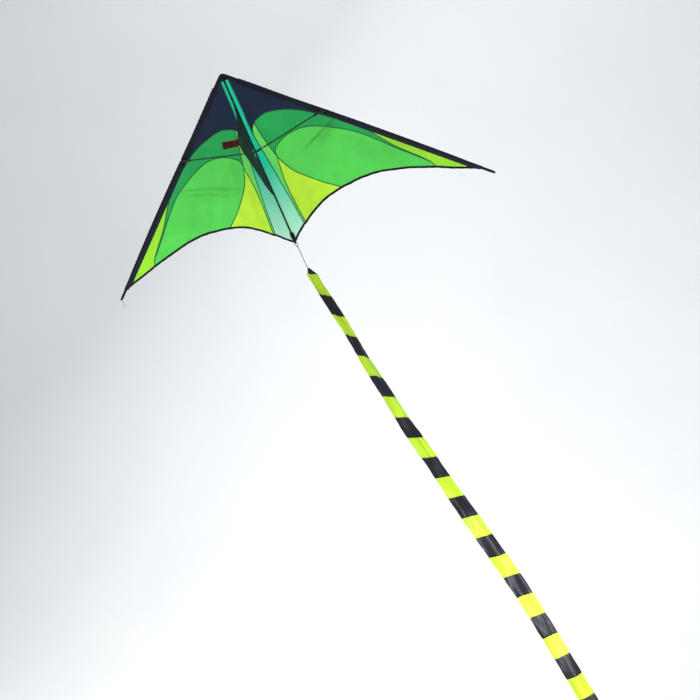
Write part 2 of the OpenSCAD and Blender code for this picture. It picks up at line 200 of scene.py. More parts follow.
def spline(points, n=6):
    """A smooth line through points."""
    p = np.array(points, float)
    p = np.vstack([2 * p[0] - p[1], p, 2 * p[-1] - p[-2]])
    out = []
    for i in range(1, len(p) - 2):
        a, b, c, d = p[i - 1 : i + 3]
        for t in np.arange(n) / n:
            square, cube = 2 * a - 5 * b + 4 * c - d, 3 * b - 3 * c + d - a
            out.append(0.5 * (2 * b + (c - a) * t + square * t**2 + cube * t**3))
    return np.vstack([out, p[-2]])


def run_of(p):
    """How far along the line p each of its points lies."""
    return np.concatenate([[0], np.cumsum(np.linalg.norm(np.diff(p, axis=0), axis=1))])


def evenly(p, step):
    """The line p again, at even steps."""
    p = np.asarray(p, float)
    s = run_of(p)
    n = max(int(round(s[-1] / step)), 2)
    t = np.linspace(0, s[-1], n + 1)
    return np.stack([np.interp(t, s, p[:, k]) for k in range(p.shape[1])], -1)


def circle(n):
    return np.linspace(0, 2 * np.pi, n, endpoint=False)


def tangents(p):
    return unit(np.gradient(p, axis=0))


def mesh(name, verts, faces, material, uv=None, smooth=True, in_row=False):
    data = bpy.data.meshes.new(name)
    verts = np.asarray(verts, float)
    data.from_pydata((verts if in_row else row(verts)).tolist(), [], faces)
    data.update()
    data.polygons.foreach_set("use_smooth", [smooth] * len(data.polygons))
    if uv is not None:
        layer = data.uv_layers.new(name="cloth")
        idx = np.zeros(len(data.loops), int)
        data.loops.foreach_get("vertex_index", idx)
        layer.data.foreach_set("uv", np.asarray(uv, np.float32)[idx].ravel())
    data.materials.append(material)
    obj = bpy.data.objects.new(name, data)
    scene.collection.objects.link(obj)
    return obj


def inside(points, poly):
    x, y = points[:, 0], points[:, 1]
    hit = np.zeros(len(points), bool)
    a, b = poly, np.roll(poly, -1, 0)
    for (x1, y1), (x2, y2) in zip(a, b):
        cross = (y1 > y) != (y2 > y)
        hit ^= cross & (x < (x2 - x1) * (y - y1) / ((y2 - y1) if y2 != y1 else 1e-12) + x1)
    return hit


def fill(poly, step):
    """A polygon in the plane, filled with even triangles: its points and its triangles."""
    rim = []
    for a, b in zip(poly, np.roll(poly, -1, 0)):
        n = max(int(math.ceil(np.hypot(*(b - a)) / (step * 0.75))), 1)
        rim += [a + (b - a) * k / n for k in range(n)]
    rim = np.array(rim)
    keep = np.linalg.norm(rim - np.roll(rim, 1, 0), axis=1) > 1e-5
    rim = rim[keep]
    lo, hi = rim.min(0), rim.max(0)
    ys = np.arange(lo[1], hi[1], step * 0.87)
    xs = np.arange(lo[0], hi[0], step)
    pts = np.array([(x + (k % 2) * step / 2, y) for k, y in enumerate(ys) for x in xs])
    if len(pts):
        pts = pts[inside(pts, rim)]
    if len(pts):
        near = np.array([np.min(np.hypot(*(rim - p).T)) for p in pts])
        pts = pts[near > step * 0.45]
    all_points = np.vstack([rim, pts]) if len(pts) else rim
    out = delaunay_2d_cdt([Vector(p) for p in all_points], [], [list(range(len(rim)))], 1, 1e-7)
    return np.array([list(v) for v in out[0]]), [list(f) for f in out[2]]


def slab(name, poly, place, half, material, step=0.004):
    """A closed pad of cloth over a polygon. place gives points and normals, and half the half thickness."""
    p, faces = fill(poly, step)
    at, n = place(*p.T)
    h = half(*p.T)[:, None] if callable(half) else half
    count = len(p)
    used = {}
    for f in faces:
        for a, b in zip(f, f[1:] + f[:1]):
            used[(a, b)] = used.get((a, b), 0) + 1
    rim = [(a, b) for (a, b) in used if (b, a) not in used]
    back = [[v + count for v in reversed(f)] for f in faces]
    edge = [[b, a, a + count, b + count] for a, b in rim]
    return mesh(name, np.vstack([at + n * h, at - n * h]), faces + back + edge, material, np.vstack([p, p]))


def tube_faces(rings, k, base=0):
    """The faces of a tube of rings with k points each, whose first point is base."""
    corners = [(i * k, j, (j + 1) % k) for i in range(rings - 1) for j in range(k)]
    return [[base + i + a, base + i + b, base + i + k + b, base + i + k + a] for i, a, b in corners]


def sweep(name, at, normal, sections, material, in_row=False):
    """A closed section swept along a line: sections hold (aside, out) pairs for each point of the line."""
    at, normal = np.asarray(at, float), unit(normal)
    t = tangents(at)
    side = unit(np.cross(normal, t))
    normal = np.cross(t, side)
    sections = np.asarray(sections, float)
    if sections.ndim == 2:
        sections = np.repeat(sections[None], len(at), 0)
    n, k = sections.shape[:2]
    verts = at[:, None] + side[:, None] * sections[..., :1] + normal[:, None] * sections[..., 1:]
    run = run_of(at)
    round_it = run_of(sections[n // 2])
    uv = np.stack(np.meshgrid(run, round_it, indexing="ij"), -1).reshape(-1, 2)
    faces = tube_faces(n, k) + [list(range(k))[::-1], [(n - 1) * k + j for j in range(k)]]
    return mesh(name, verts.reshape(-1, 3), faces, material, uv, in_row=in_row)


def both_faces(half):
    """A closed section whose back mirrors its front."""
    return half + [(u, -v) for u, v in half[::-1]]


def flat_section(inner, outer, thick):
    """A tape's section, with its edges eased."""
    e = min(0.0006, (inner + outer) * 0.2)
    h = thick / 2
    return both_faces([(-inner, -h * 0.5), (-inner + e, -h), (outer - e, -h), (outer, -h * 0.5)])


SPINDLE = [
    [0, 1, 2], [0, 2, 3], [0, 3, 1], [1, 4, 5, 2], [2, 5, 6, 3], [3, 6, 4, 1], [7, 5, 4], [7, 6, 5], [7, 4, 6]
]


def stitches(name, lines, material, pitch=0.0042, long=0.0030, thick=0.00042, in_row=False):
    """Thread on both faces of a seam, a small spindle per stitch. lines are (points, normals, height)."""
    verts, faces = [], []
    for p, n, height in lines:
        both = evenly(np.hstack([p, n]), pitch)
        p, n = both[:, :3], unit(both[:, 3:])
        t = tangents(p)
        s = np.cross(n, t)
        for face in (1, -1):
            c = p + n * height * face
            for k in range(len(c)):
                base = len(verts)
                a, b = t[k] * long / 2, s[k] * thick / 2
                up = n[k] * face * thick * 0.6
                verts += [c[k] - a, c[k] + b * 1.2 - a * 0.4, c[k] + up - a * 0.4, c[k] - b * 1.2 - a * 0.4]
                verts += [c[k] + b * 1.2 + a * 0.4, c[k] + up + a * 0.4, c[k] - b * 1.2 + a * 0.4, c[k] + a]
                faces += [[base + v for v in f] for f in SPINDLE]
    return mesh(name, verts, faces, material, smooth=False, in_row=in_row)


# ---- materials
class Graph:
    """A material's node tree, with short calls."""

    def __init__(self, name):
        self.material = bpy.data.materials.new(name)
        self.material.use_nodes = True
        self.tree = self.material.node_tree
        self.tree.nodes.clear()
        self.out = self.add("ShaderNodeOutputMaterial")

    def add(self, kind, inputs=None, **settings):
        node = self.tree.nodes.new(kind)
        for key, value in settings.items():
            setattr(node, key, value)
        for key, value in (inputs or {}).items():
            if isinstance(value, bpy.types.NodeSocket):
                self.tree.links.new(value, node.inputs[key])
            else:
                node.inputs[key].default_value = value
        return node

    def mix(self, a, b, factor, blend="MIX"):
        node = self.add("ShaderNodeMix", data_type="RGBA", blend_type=blend)
        for key, value in (("Factor", factor), ("A", a), ("B", b)):
            kind = "VALUE" if key == "Factor" else "RGBA"
            socket = next(s for s in node.inputs if s.name == key and s.type == kind)
            if isinstance(value, bpy.types.NodeSocket):
                self.tree.links.new(value, socket)
            else:
                socket.default_value = value
        return next(s for s in node.outputs if s.type == "RGBA")

    def ramp(self, value, low, high):
        node = self.add("ShaderNodeMapRange", {"Value": value, "From Min": low, "From Max": high})
        return node.outputs["Result"]

    def calc(self, operation, *values):
        return self.add("ShaderNodeMath", dict(enumerate(values)), operation=operation).outputs[0]

    def dot(self, vector, way):
        node = self.add("ShaderNodeVectorMath", {0: vector, 1: (*way, 0)}, operation="DOT_PRODUCT")
        return node.outputs["Value"]

    def noise(self, vector, scale, detail, **inputs):
        inputs = {"Vector": vector, "Scale": scale, "Detail": detail, **inputs}
        return self.add("ShaderNodeTexNoise", inputs).outputs["Fac"]

    def surface(self, shader):
        self.tree.links.new(shader.outputs[0], self.out.inputs["Surface"])
        return self.material


def tone(colour, k):
    return tuple(min(c * k, 1.0) for c in colour[:3]) + (1.0,)


def ripstop(name, colour, glow=0.4, fade=None, weave=0.005, rough=0.42, crease_shade_lines=(), pleat_shade=0.0):
    """Light nylon with a ripstop grid. It shines softly in front and lets some of the light behind it through.
    Each line of crease_shade_lines is painted shade along a crease: the colour is darkened there in place of the
    shade in the fold. pleat_shade is how strongly a gathered tube is lined with painted shade in its creases and
    painted highlight on its ridges."""
    colour = linear(*colour)
    g = Graph(name)
    uv = g.add("ShaderNodeUVMap", uv_map="cloth").outputs["UV"]
    place = g.add("ShaderNodeTexCoord").outputs["Object"]
    cloud = g.noise(place, 5.0, 4.0, Roughness=0.6)
    base = colour
    if fade:
        way = g.add("ShaderNodeSeparateXYZ", {"Vector": uv}).outputs["Y"]
        base = g.mix(colour, linear(*fade), g.calc("POWER", g.ramp(way, 0.36, 0.68), 1.2))
    shade = g.ramp(cloud, 0.3, 0.7)
    if fade:
        dark = g.mix(base, (0.82, 0.86, 0.84, 1), 1.0, "MULTIPLY")
        toned = g.mix(dark, base, shade)
    else:
        toned = g.mix(tone(colour, 0.84), tone(colour, 1.08), shade)
    # painted shade: each crease line mixes the colour towards a dark tone of it, in place of the shade in the
    # fold
    for a, b, width, strength in crease_shade_lines:
        a, d = np.array(a), np.array(b) - np.array(a)
        run = float(np.hypot(*d))
        d = d / run
        n = np.array([-d[1], d[0]])
        near, far = float(a @ d), float(a @ d) + run
        way = g.dot(uv, d)
        aside = g.calc("MULTIPLY_ADD", g.noise(uv, 22.0, 2.0), 1.6 * width, g.dot(uv, n))
        aside = g.calc("ABSOLUTE", g.calc("SUBTRACT", aside, float(a @ n) + 0.8 * width))
        painted_shade_mask = g.calc("SUBTRACT", 1.0, g.ramp(aside, 0.1 * width, width))
        painted_shade_mask = g.calc("MULTIPLY", painted_shade_mask, g.ramp(way, near, near + 0.25 * run))
        stop = g.calc("SUBTRACT", 1.0, g.ramp(way, near + 0.7 * run, far))
        painted_shade_mask = g.calc("MULTIPLY", g.calc("MULTIPLY", painted_shade_mask, stop), strength)
        toned = g.mix(toned, tone(colour, 0.45), painted_shade_mask)
    # painted shade and painted highlight: dark lines stand in for the shade in a gathered tube's creases, pale
    # lines for light on its ridges
    if pleat_shade:
        stretched = g.add("ShaderNodeMapping", {"Vector": uv, "Scale": (3.0, 130.0, 1.0)}).outputs[0]
        lines = g.noise(stretched, 1.0, 2.0)
        dark = g.calc("MULTIPLY", g.ramp(lines, 0.57, 0.66), pleat_shade)
        pale = g.calc("MULTIPLY", g.ramp(lines, 0.42, 0.33), 0.6 * pleat_shade)
        toned = g.mix(g.mix(toned, tone(colour, 0.3), dark), tone(colour, 2.2), pale)
    grid = g.add(
        "ShaderNodeTexBrick",
        {
            "Vector": uv, "Scale": 1.0, "Mortar Size": weave * 0.07, "Mortar Smooth": 0.4, "Brick Width": weave,
            "Row Height": weave
        },
        offset=0.0, squash=1.0
    )
    lined = g.mix(toned, (0.80, 0.83, 0.80, 1), g.calc("MULTIPLY", grid.outputs["Fac"], 0.35), "MULTIPLY")
    height = g.calc("ADD", grid.outputs["Fac"], g.noise(uv, 2600.0, 1.0))
    bump = g.add("ShaderNodeBump", {"Height": height, "Strength": 0.35, "Distance": 0.00012})
    slub = g.ramp(g.noise(uv, 60.0, 3.0), 0.0, 1.0)
    gloss = g.add(
        "ShaderNodeMapRange", {"Value": slub, "To Min": rough - 0.08, "To Max": rough + 0.12}
    ).outputs["Result"]
    front = g.add(
        "ShaderNodeBsdfPrincipled",
        {
            "Base Color": lined, "Roughness": gloss, "Normal": bump.outputs["Normal"], "Sheen Weight": 0.06,
            "Specular IOR Level": 0.3
        }
    )
    through = g.add("ShaderNodeBsdfTranslucent", {"Color": lined, "Normal": bump.outputs["Normal"]})
    return g.surface(g.add("ShaderNodeMixShader", {0: glow, 1: front.outputs[0], 2: through.outputs[0]}))


def woven(name, colour, pitch=0.0016, rough=0.75):
    """Opaque woven tape or webbing: ribs across its length, with a little fading."""
    colour = linear(*colour)
    g = Graph(name)
    uv = g.add("ShaderNodeUVMap", uv_map="cloth").outputs["UV"]
    place = g.add("ShaderNodeTexCoord").outputs["Object"]
    ribs = g.add(
        "ShaderNodeTexWave",
        {"Vector": uv, "Scale": 0.314 / pitch, "Distortion": 0.8, "Detail": 2.0, "Detail Scale": 3.0},
        wave_type="BANDS", bands_direction="X"
    )
    cross = g.add(
        "ShaderNodeTexWave", {"Vector": uv, "Scale": 0.5 / pitch, "Distortion": 0.4}, wave_type="BANDS",
        bands_direction="Y"
    )
    worn = g.noise(place, 38.0, 5.0, Roughness=0.65)
    base = g.mix(tone(colour, 0.72), tone(colour, 1.35), g.ramp(worn, 0.32, 0.72))
    ribbed = g.mix(base, tone(colour, 0.55), g.calc("MULTIPLY", ribs.outputs["Fac"], 0.45))
    height = g.calc("ADD", ribs.outputs["Fac"], cross.outputs["Fac"])
    bump = g.add("ShaderNodeBump", {"Height": height, "Strength": 0.6, "Distance": 0.0003})
    shader = g.add(
        "ShaderNodeBsdfPrincipled",
        {
            "Base Color": ribbed, "Roughness": rough, "Normal": bump.outputs["Normal"], "Sheen Weight": 0.08,
            "Specular IOR Level": 0.3
        }
    )
    return g.surface(shader)


def moulded(name, colour, rough=0.38, grain=900.0, streak=False):
    """Black plastic or glass fibre: a fine grain, with drawn streaks on a rod."""
    colour = linear(*colour)
    g = Graph(name)
    place = g.add("ShaderNodeTexCoord").outputs["Object"]
    wide = g.noise(place, 25.0, 4.0)
    base = g.mix(tone(colour, 0.7), tone(colour, 1.6), g.ramp(wide, 0.35, 0.75))
    if streak:
        veins = g.noise(place, 260.0, 3.0, Distortion=1.5)
        base = g.mix(base, tone(colour, 2.4), g.ramp(veins, 0.55, 0.8))
    bump = g.add("ShaderNodeBump", {"Height": g.noise(place, grain, 2.0), "Strength": 0.25, "Distance": 0.0001})
    gloss = g.add(
        "ShaderNodeMapRange", {"Value": wide, "To Min": rough - 0.08, "To Max": rough + 0.14}
    ).outputs["Result"]
    shader = g.add(
        "ShaderNodeBsdfPrincipled", {"Base Color": base, "Roughness": gloss, "Normal": bump.outputs["Normal"]}
    )
    return g.surface(shader)


NAVY = ripstop("navy_ripstop", (20, 37, 66), 0.16, rough=0.55)
# painted shade along creases on the wings: from, to, width and strength of each dark line
CREASE_SHADE_LINES = [
    ((0.335, 0.300), (0.150, 0.392), 0.009, 0.75), ((0.31, 0.335), (0.20, 0.40), 0.022, 0.28),
    ((-0.38, 0.372), (-0.10, 0.452), 0.011, 0.5), ((-0.36, 0.40), (-0.14, 0.475), 0.007, 0.35)
]
FOREST = ripstop("forest_ripstop", (36, 158, 80), crease_shade_lines=CREASE_SHADE_LINES)
BRIGHT = ripstop("bright_ripstop", (84, 206, 82), crease_shade_lines=CREASE_SHADE_LINES)
LIGHT_GREEN = ripstop("light_green_ripstop", (100, 214, 94))
LIME = ripstop("lime_ripstop", (186, 236, 56))
TIP_LIME = ripstop("tip_lime_ripstop", (150, 222, 50))
MINT = ripstop("mint_ripstop", (22, 196, 156), 0.4, fade=(180, 236, 204))
# dark teal cloth made darker still as painted shade: its colour is the keel's look in its shade; the spine sleeve
# and the keel's slot hem share it
SHADE_DARKENED_TEAL = ripstop("teal_ripstop", (0, 34, 42), 0.18, rough=0.7)
SEAM = ripstop("seam_cloth", (22, 118, 66), 0.1)
HEM = ripstop("hem_cloth", (10, 18, 42), 0.06, rough=0.6)
TAIL_LIME = ripstop("tail_lime_taffeta", (206, 255, 50), 0.1, weave=0.0016, rough=0.4, pleat_shade=0.55)
TAIL_BLACK = ripstop("tail_black_taffeta", (26, 26, 37), 0.05, weave=0.0016, rough=0.4, pleat_shade=0.6)
TAPE = woven("black_tape", (11, 12, 20))
WEBBING = woven("red_webbing", (78, 5, 8), 0.0012, 0.85)
THREAD_DARK = woven("dark_thread", (18, 60, 44), 0.0005)
THREAD_BLACK = woven("black_thread", (26, 27, 34), 0.0005)
THREAD_RED = woven("red_thread", (168, 40, 34), 0.0005)
CORD = woven("twisted_cord", (12, 12, 15), 0.0011, 0.8)
ROD = moulded("glass_fibre_rod", (19, 20, 22), 0.36, 1500.0, streak=True)
PLASTIC = moulded("moulded_fitting", (16, 17, 19), 0.45)


def dress(obj, body=None, node=None):
    """Attaches a piece to the body it rides on and hides the CAD node that it stands for."""
    if body:
        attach(obj, body)
    if node:
        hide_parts(node)
    return obj


BARE = {"spine_rod": ROD, "spreader_joiner": PLASTIC}  # the CAD nodes that are seen as they are
for hand in ("left", "right"):
    BARE |= {f"{hand}_{part}": ROD for part in ("leading_rod", "spreader_rod")}
    BARE |= {f"{hand}_{part}": PLASTIC for part in ("rod_cap", "rod_clip", "spreader_socket")}
for name, material in BARE.items():
    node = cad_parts[name]
    if not node.material_slots:
        node.data.materials.append(material)
    for slot in node.material_slots:
        slot.material = material


def points_of(obj):
    co = np.zeros(len(obj.data.vertices) * 3)
    obj.data.vertices.foreach_get("co", co)
    return co.reshape(-1, 3)


def fold_with(obj, side, node=None):
    """Hides the CAD node that a piece of cloth stands for and bakes the piece's transform into its points; the
    cloth is not turned.
    """
    dress(obj, node=node)
    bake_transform(obj)
    p = kite(points_of(obj)) * [side, 1, 1]
    return obj


LEAST_SHARE = 0.31  # the least part of its flat rectangle that a sheet may fill


def area_of(obj):
    return float(sum(p.area for p in obj.data.polygons))


def declare(obj):
    """Works out the smallest rectangle that a piece's flat cut fits in, and a sheet's width and length from it;
    none of it is kept.
    """
    p = points_of(obj)
    axes = np.linalg.svd(p - p.mean(0), full_matrices=False)[2]
    flat = (p - p.mean(0)) @ axes[:2].T
    best = None
    for a in np.radians(np.arange(0, 90, 3)):
        q = flat @ np.array([[math.cos(a), -math.sin(a)], [math.sin(a), math.cos(a)]])
        size = q.max(0) - q.min(0)
        if best is None or size.prod() < best.prod():
            best = size
    area = area_of(obj)
    width, length = sorted(float(v) for v in best)
    if area > width * length:
        length = area / width
    if area < LEAST_SHARE * width * length:
        width = area / LEAST_SHARE / length


# ---- the sail
MM = 0.001


def seam(points):
    return spline(np.array(points, float) * MM)


def hem_edge(r, w=0.014):
    return LE[:2] * r + INBOARD * w


mint_line = seam(
    [[15, 40], [16, 90], [17, 145], [18, 204], [22, 262], [32, 345], [38, 400], [45, 470], [54, 555], [62, 650]]
)
fork = 24
green_top = seam([[22, 262], [22.5, 245], [28, 226], [39, 213]])
green_line = seam([[39, 213], [47, 263], [57, 316], [68, 366]])
green_tail = seam([[68, 366], [64, 405], [60, 455], [60, 510], [64, 580], [69, 648]])
navy_line = seam([[39, 213], [56, 203], [90, 196], [135, 204], [190, 226], [250, 263], [322, 318]])
bright_line = seam(
    [
        [68, 366], [70, 342], [93, 320], [140, 303], [200, 303], [268, 331], [362, 389], [420, 444], [481, 510],
        [543, 575], [587, 619]
    ]
)
inner_line = seam([[68, 366], [84, 410], [112, 458], [165, 518], [236, 581]])
lime_line = seam([[396, 385], [432, 433], [485, 506], [546, 572], [587, 619]])
tip_line = seam([[587, 619], [599, 646]])
trail_mint = seam([[3, 696], [30, 674], [62, 650]])
trail_green = seam([[62, 650], [69, 648]])
trail_inner = seam([[69, 648], [110, 622], [170, 595], [236, 581]])
trail_bright = seam([[236, 581], [320, 577], [400, 586], [500, 614], [599, 646]])
trail_tip = seam([[599, 646], [660, 671], [725, 697], [762, 716]])
UNDER = 0.006
navy_end, lime_end, corner = hem_edge(0.456, UNDER), hem_edge(0.556, UNDER), hem_edge(1.045, 0.0045)
navy_line[-1], lime_line[0], trail_tip[-1] = navy_end, lime_end, corner

STRIPE_TOP = 0.029
OUTLINES = {
    "mint_panel": (np.vstack([[[0.0030, STRIPE_TOP], [0.0146, STRIPE_TOP]], mint_line, trail_mint[::-1]]), MINT),
    "light_green_panel": (
        np.vstack([green_top, green_line[1:], green_tail[1:], trail_green[::-1][1:], mint_line[::-1][1:-fork]]),
        LIGHT_GREEN
    ),
    "navy_panel": (
        np.vstack([[[0.0146, STRIPE_TOP]], mint_line[:fork], green_top, navy_line[1:], [hem_edge(0.036, UNDER)]]),
        NAVY
    ),
    "forest_panel": (np.vstack([navy_line, lime_line, bright_line[::-1][1:], green_line[::-1][1:-1]]), FOREST),
    "bright_panel": (
        np.vstack([bright_line, tip_line[1:], trail_bright[::-1][1:], inner_line[::-1][1:-1]]), BRIGHT
    ),
    "inner_lime_panel": (np.vstack([inner_line, trail_inner[::-1][1:], green_tail[::-1][1:-1]]), LIME),
    "tip_lime_panel": (np.vstack([lime_line, tip_line[1:], trail_tip[1:]]), TIP_LIME),
}
SEAMS = [
    np.vstack([[[0.0146, STRIPE_TOP]], mint_line]), green_top, green_line, green_tail, navy_line, bright_line,
    inner_line, lime_line, tip_line
]
trailing = np.vstack([trail_mint[:-1], trail_green[:-1], trail_inner[:-1], trail_bright[:-1], trail_tip])


SET = {
    1: ([0, 0.07, 0.3, 0.4, 0.5, 0.6, 0.66, 0.74], [0.001, 0.0025, 0.0015, -0.0035, -0.007, -0.003, 0.001, 0]),
    -1: ([0, 0.03, 0.07, 0.4, 0.6, 0.68, 0.74], [0.004, 0.011, 0.0115, 0.0100, 0.008, 0.004, 0]),
}


def hang(p, side):
    """The two wings' edges and seams aren't quite alike: one side's cloth is slacker, and lies a little lower."""
    edge = np.interp(p[:, 0], trailing[:, 0], trailing[:, 1])
    near = np.clip(1 - (edge - p[:, 1]) / 0.13, 0, 1)
    shift = np.interp(p[:, 0], *SET[side]) * near * near * (3 - 2 * near)
    middle = np.interp(p[:, 0], [0, 0.004, 0.015, 0.04, 0.08, 0.16], [0, 0, 0.7, 1, 1, 0])
    middle = middle * np.interp(p[:, 1], [0.15, 0.25, 0.6, 0.68], [0, 1, 1, 0.7])
    crown = np.interp(p[:, 0], [0.03, 0.06, 0.15, 0.25], [0, 1, 1, 0])
    crown = crown * np.exp(-(((p[:, 1] - 0.215) / 0.05) ** 2))
    if side > 0:
        return p + np.stack([-0.0055 * middle, shift], -1)
    return p + np.stack([0.0060 * middle, shift + 0.008 * crown], -1)


def bump01(t):
    return np.sin(np.pi * np.clip(t, 0, 1))


HEM_BESIDE = 0.010  # how far inboard of its rod the hem takes the cloth's slope
HEM_RUNS = ((0.0655, 0.3715), (0.4025, 1.047))  # along the rod, on either side of the clip's window
HEM_WINDOW = (0.3705, 0.4035)
SEAM_SECTION = flat_section(0.0018, 0.0018, 0.0009)
PIPING_SECTION = flat_section(0.0016, 0.0016, 0.0024)


def hem_line(r, side):
    """Points along a leading edge rod, the cloth's normals beside it, and the way inboard."""
    at = LE * r[:, None] * [side, 1, 1]
    beside = LE[:2] * r[:, None] + INBOARD * HEM_BESIDE
    _, n = skin(*beside.T, side)
    return at, n, unit(np.cross(n, tangents(at))) * side


def hem_lip(r):
    """How far the hem stands outboard of its rod: most in the middle."""
    return 0.0058 + 0.0040 * bump01((r - 0.28) / 0.75)


def leading_hem(label, hand, side, line, sections, lip):
    """A stretch of hem over a rod, with piping along its outer lip."""
    at, n, inward = line
    rows = [[(side * u, v) for u, v in section[::side]] for section in sections]
    hem = sweep(f"{hand}_leading_hem_{label}", at, n, rows, HEM)
    dress(hem, f"{hand}_wing_edge", f"{hand}_leading_hem")
    rim = at - inward * (lip - 0.0004)[:, None]
    dress(sweep(f"{hand}_leading_piping_{label}", rim, n, PIPING_SECTION, TAPE), f"{hand}_wing_edge")


for side, hand in ((1, "right"), (-1, "left")):
    wing = f"{hand}_wing_edge"
    for name, (outline, material) in OUTLINES.items():
        p, faces = fill(outline, 0.0065)
        p = hang(p, side)
        at, _ = skin(*p.T, side)
        piece = mesh(f"{hand}_{name}_cloth", at, [f[::side] for f in faces], material, p * [side, 1])
        fold_with(piece, side, f"{hand}_{name}")
        declare(piece)

    # seams: two cloths lapped and sewn with one row of thread
    lines = []
    for k, line in enumerate(SEAMS):
        q = hang(evenly(line, 0.004), side)
        at, n = skin(*q.T, side)
        fold_with(sweep(f"{hand}_seam_{k + 1}", at, n, SEAM_SECTION, SEAM), side)
        lines.append((at, n, 0.00048))
    fold_with(stitches(f"{hand}_seam_thread", lines, THREAD_DARK), side)

    # trailing edge: a tape folded over the cloth, with two rows of thread
    q = evenly(hang(evenly(trailing, 0.005), side), 0.005)
    at, n = skin(*q.T, side)
    width = 0.0052 + 0.0004 * np.sin(np.linspace(0, 1, len(q)) * 140)
    rows = [flat_section(*(0.0042, w)[::side], 0.0019) for w in width]
    fold_with(sweep(f"{hand}_trailing_tape_cloth", at, n, rows, TAPE), side, f"{hand}_trailing_tape")
    away = unit(np.cross(n, tangents(at))) * side
    lines = [(at + away * out, n, 0.0010) for out in (-0.0028, 0.0026)]
    fold_with(stitches(f"{hand}_trailing_thread", lines, THREAD_BLACK), side)

    # leading edge: cloth folded round the rod, with a window for the spreader's clip
    lines = []
    for part, (r0, r1) in enumerate(HEM_RUNS):
        r = np.linspace(r0, r1, max(int((r1 - r0) / 0.008), 12))
        at, n, inward = hem_line(r, side)
        lip = np.where(r > 0.98, 0.0058, hem_lip(r) + 0.0005 * np.sin(r * 310))
        band = 0.0150 + 0.0003 * np.sin(r * 260 + 1) - 0.0095 * np.clip((r - 1.0) / 0.045, 0, 1)
        puff = 1 + 0.05 * np.sin(r * 190 + side) + 0.04 * np.sin(r * 77)
        rows = []
        for a, b, c in zip(lip, band, puff):
            over_rod = [(-0.0036 * c, 0.0030 * c), (0, 0.0041 * c), (0.0034 * c, 0.0030 * c)]
            flap = [(0.0058, 0.0014), (b - 0.001, 0.0011), (b, 0.0004)]
            rows.append(both_faces([(-a, 0.0005), (-0.0047, 0.0016), *over_rod, *flap]))
        leading_hem(part + 1, hand, side, (at, n, inward), rows, lip)
        lines += [(at + inward * 0.0075, n, 0.0014), (at + inward * (band - 0.0022)[:, None], n, 0.0012)]
    dress(stitches(f"{hand}_leading_thread", lines, THREAD_BLACK), wing)

    # in the window the cloth runs on behind the clip, open to the front for its stud
    r = np.linspace(*HEM_WINDOW, 12)
    lip = hem_lip(r)
    rows = []
    for k, a in enumerate(lip):
        up = 0.0056 + 0.0003 * math.sin(k * 1.7)
        back = [(-0.0054, 0.0012), (-0.0046, up * 0.72), (-0.0022, up), (0.0022, up), (0.0046, up * 0.72)]
        flap = [(0.0058, 0.0012), (0.0148, 0.0006), (0.0148, -0.0004), (0.0056, -0.0002), (0.0051, 0.0010)]
        inner = [(0.0040, up * 0.66), (0.0020, up - 0.0007), (-0.0020, up - 0.0007), (-0.0040, up * 0.66)]
        rows.append([(-a, 0.0002), *back, *flap, *inner, (-0.0051, 0.0002), (-a, -0.0006)])
    leading_hem("window", hand, side, hem_line(r, side), rows, lip)

    # tip pocket: a stout folded sleeve over the rod's end, with two rings of thread
    r = np.array([1.040, 1.043, 1.050, 1.062, 1.075, 1.088, 1.097, 1.1025, 1.1055, 1.1072])
    size = np.array([4.6, 5.2, 5.5, 5.3, 5.4, 5.2, 5.0, 4.4, 3.2, 1.2]) * MM
    flatten = np.array([0.8, 0.8, 0.85, 0.95, 1, 1, 1, 1, 1, 1])
    ring = circle(20)
    wide = np.outer(size, (1 + 0.03 * np.sin(3 * ring)) * np.cos(ring))
    rows = np.stack([wide, np.outer(size * flatten, np.sin(ring))], -1)
    flip = np.array([side, 1, 1])
    pocket = sweep(f"{hand}_tip_pocket_cloth", LE * r[:, None] * flip, -FRONT * flip + 0 * r[:, None], rows, TAPE)
    dress(pocket, wing, f"{hand}_tip_pocket")
    turn = np.linspace(0, 2 * np.pi, 40)
    u1 = unit(np.cross(LE, [0, 0, 1.0]))
    out = np.cos(turn)[:, None] * u1 + np.sin(turn)[:, None] * np.cross(LE, u1)
    lines = [((LE * centre + out * 0.0053) * flip, out * flip, 0.0002) for centre in (1.046, 1.090)]
    dress(stitches(f"{hand}_tip_thread", lines, THREAD_BLACK, pitch=0.003, long=0.002), wing)


# ---- spine sleeve, nose patch and tail pocket
def middle_skin(x, y):
    """The cloth across both wings at the spine, as the right wing and its mirror."""
    at, n = skin(np.abs(x), y, 1)
    at[:, 0] = x
    n[:, 0] *= np.sign(x)
    return at, unit(n)


y = np.linspace(0.0285, 0.664, 120)
ring = circle(18)
pucker = 1 + 0.035 * np.sin(y * 400) + 0.03 * np.sin(y * 91)
sections = [[(0.0034 * k * math.cos(u), 0.0034 * k * math.sin(u)) for u in ring] for k in pucker]
spine_at = np.stack([0 * y, y, 0 * y], -1)
sleeve = sweep("spine_sleeve_cloth", spine_at, np.repeat([[0, 0, 1.0]], len(y), 0), sections, SHADE_DARKENED_TEAL)
dress(sleeve, "airframe", "spine_sleeve")
sewn = y[y > 0.088]  # further up, the thread would meet the hems when the rods fold
at, n = skin(0.0052 + 0 * sewn, sewn, 1)
thread = [(at * [side, 1, 1], n * [side, 1, 1], 0.0001) for side in (1, -1)]
dress(stitches("spine_thread", thread, THREAD_DARK), "airframe")

